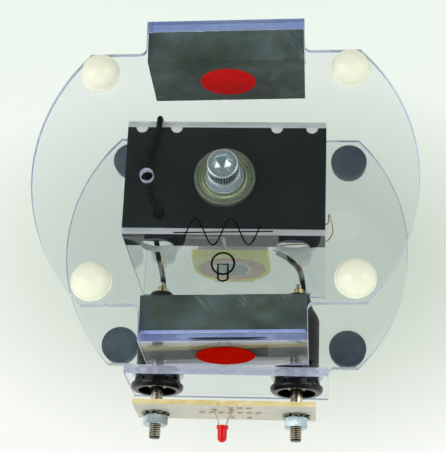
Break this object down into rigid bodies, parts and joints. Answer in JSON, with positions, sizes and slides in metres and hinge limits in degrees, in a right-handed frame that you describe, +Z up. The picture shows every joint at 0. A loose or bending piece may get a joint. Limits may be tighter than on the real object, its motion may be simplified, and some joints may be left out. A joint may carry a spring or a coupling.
{
  "type": "demonstration electric motor",
  "caption": "Clear classroom motor and alternator: a rotor sheet with ferrite magnets turns on a ball bearing over a coil, with a plug-in light board.",
  "frame": {"origin": "middle of the whole footprint, at the level of the bench; the rotor axis is 10.6 mm behind it", "axes": "+Z up along the rotor axis, -Y towards the sockets and the light board, +X to the viewer's right"},
  "size_m": [0.12, 0.1291, 0.0836],
  "materials": {
    "clear_sheet": "clear, polished, with lit cut edges",
    "foot_rubber": "dark slate, soft, dull",
    "black_plastic": "black, smooth",
    "bearing_steel": "ground steel",
    "shield_steel": "grey-green pressed shield",
    "former_plastic": "yellow-green, slightly see-through",
    "tape": "dark winding tape",
    "copper_wire": "enamelled copper",
    "sleeve_white": "white",
    "core_steel": "plain steel, turned",
    "boot_rubber": "black, soft",
    "brass": "plain brass",
    "solder": "tinned wire and solder",
    "lead_cover": "black flexible insulation",
    "ferrite": "dark grey, ground faces, chipped edges",
    "label_red": "red paper disc",
    "glue": "dark adhesive pad",
    "dome_rubber": "cream, soft",
    "zinc_steel": "bright zinc plate",
    "plug_metal": "nickel-plated brass",
    "board": "pale buff laminate",
    "lens_red": "red, clear-cast"
  },
  "bodies": {
    "base": {"base_plate": "clear_sheet", "feet": "foot_rubber", "coil_frame": "clear_sheet", "top_block": "black_plastic", "bearing_outer_ring": "bearing_steel", "bearing_shields": "shield_steel", "coil_cradle": "sleeve_white", "coil_flanges": "former_plastic", "coil_tape": "tape", "coil_winding": "copper_wire", "core_sleeve": "sleeve_white", "coil_core": "core_steel", "socket_shell_left": "black_plastic", "socket_shell_right": "black_plastic", "socket_nut_left": "black_plastic", "socket_nut_right": "black_plastic", "socket_sleeve_left": "boot_rubber", "socket_sleeve_right": "boot_rubber", "socket_contact_left": "brass", "socket_contact_right": "brass", "bare_strands": "solder", "lead_left": "lead_cover", "lead_right": "lead_cover", "coil_wires": "copper_wire"},
    "ball_set": {"bearing_balls": "bearing_steel", "bearing_cage": "bearing_steel"},
    "rotor": {"rotor_plate": "clear_sheet", "magnet_rear": "ferrite", "magnet_front": "ferrite", "magnet_glue_pad": "glue", "pole_label_front": "label_red", "pole_label_rear": "label_red", "domes": "dome_rubber", "hub_screw": "zinc_steel", "hub_washer": "zinc_steel", "hub_shim": "zinc_steel", "bearing_inner_ring": "bearing_steel", "hub_spacer": "zinc_steel", "hub_nut": "zinc_steel"},
    "light_board": {"module_board": "board", "plug_pin_left": "plug_metal", "plug_pin_right": "plug_metal", "lock_washers": "zinc_steel", "board_nuts": "zinc_steel", "led_lens": "lens_red", "led_leads": "solder"}
  },
  "joints": [
    {"name": "rotor_spin", "type": "hinge", "parent": "base", "child": "rotor", "pos_m": [0, 0.01063, 0], "axis": [0, 0, 1], "continuous": true},
    {"name": "ball_spin", "type": "hinge", "parent": "base", "child": "ball_set", "pos_m": [0, 0.01063, 0], "axis": [0, 0, 1], "continuous": true},
    {"name": "board_unplug", "type": "slide", "parent": "base", "child": "light_board", "axis": [0, -1, 0], "range_m": [0, 0.03]}
  ],
  "couplings": [
    {"joint": "ball_spin", "follows": "rotor_spin", "ratio": 0.359}
  ]
}
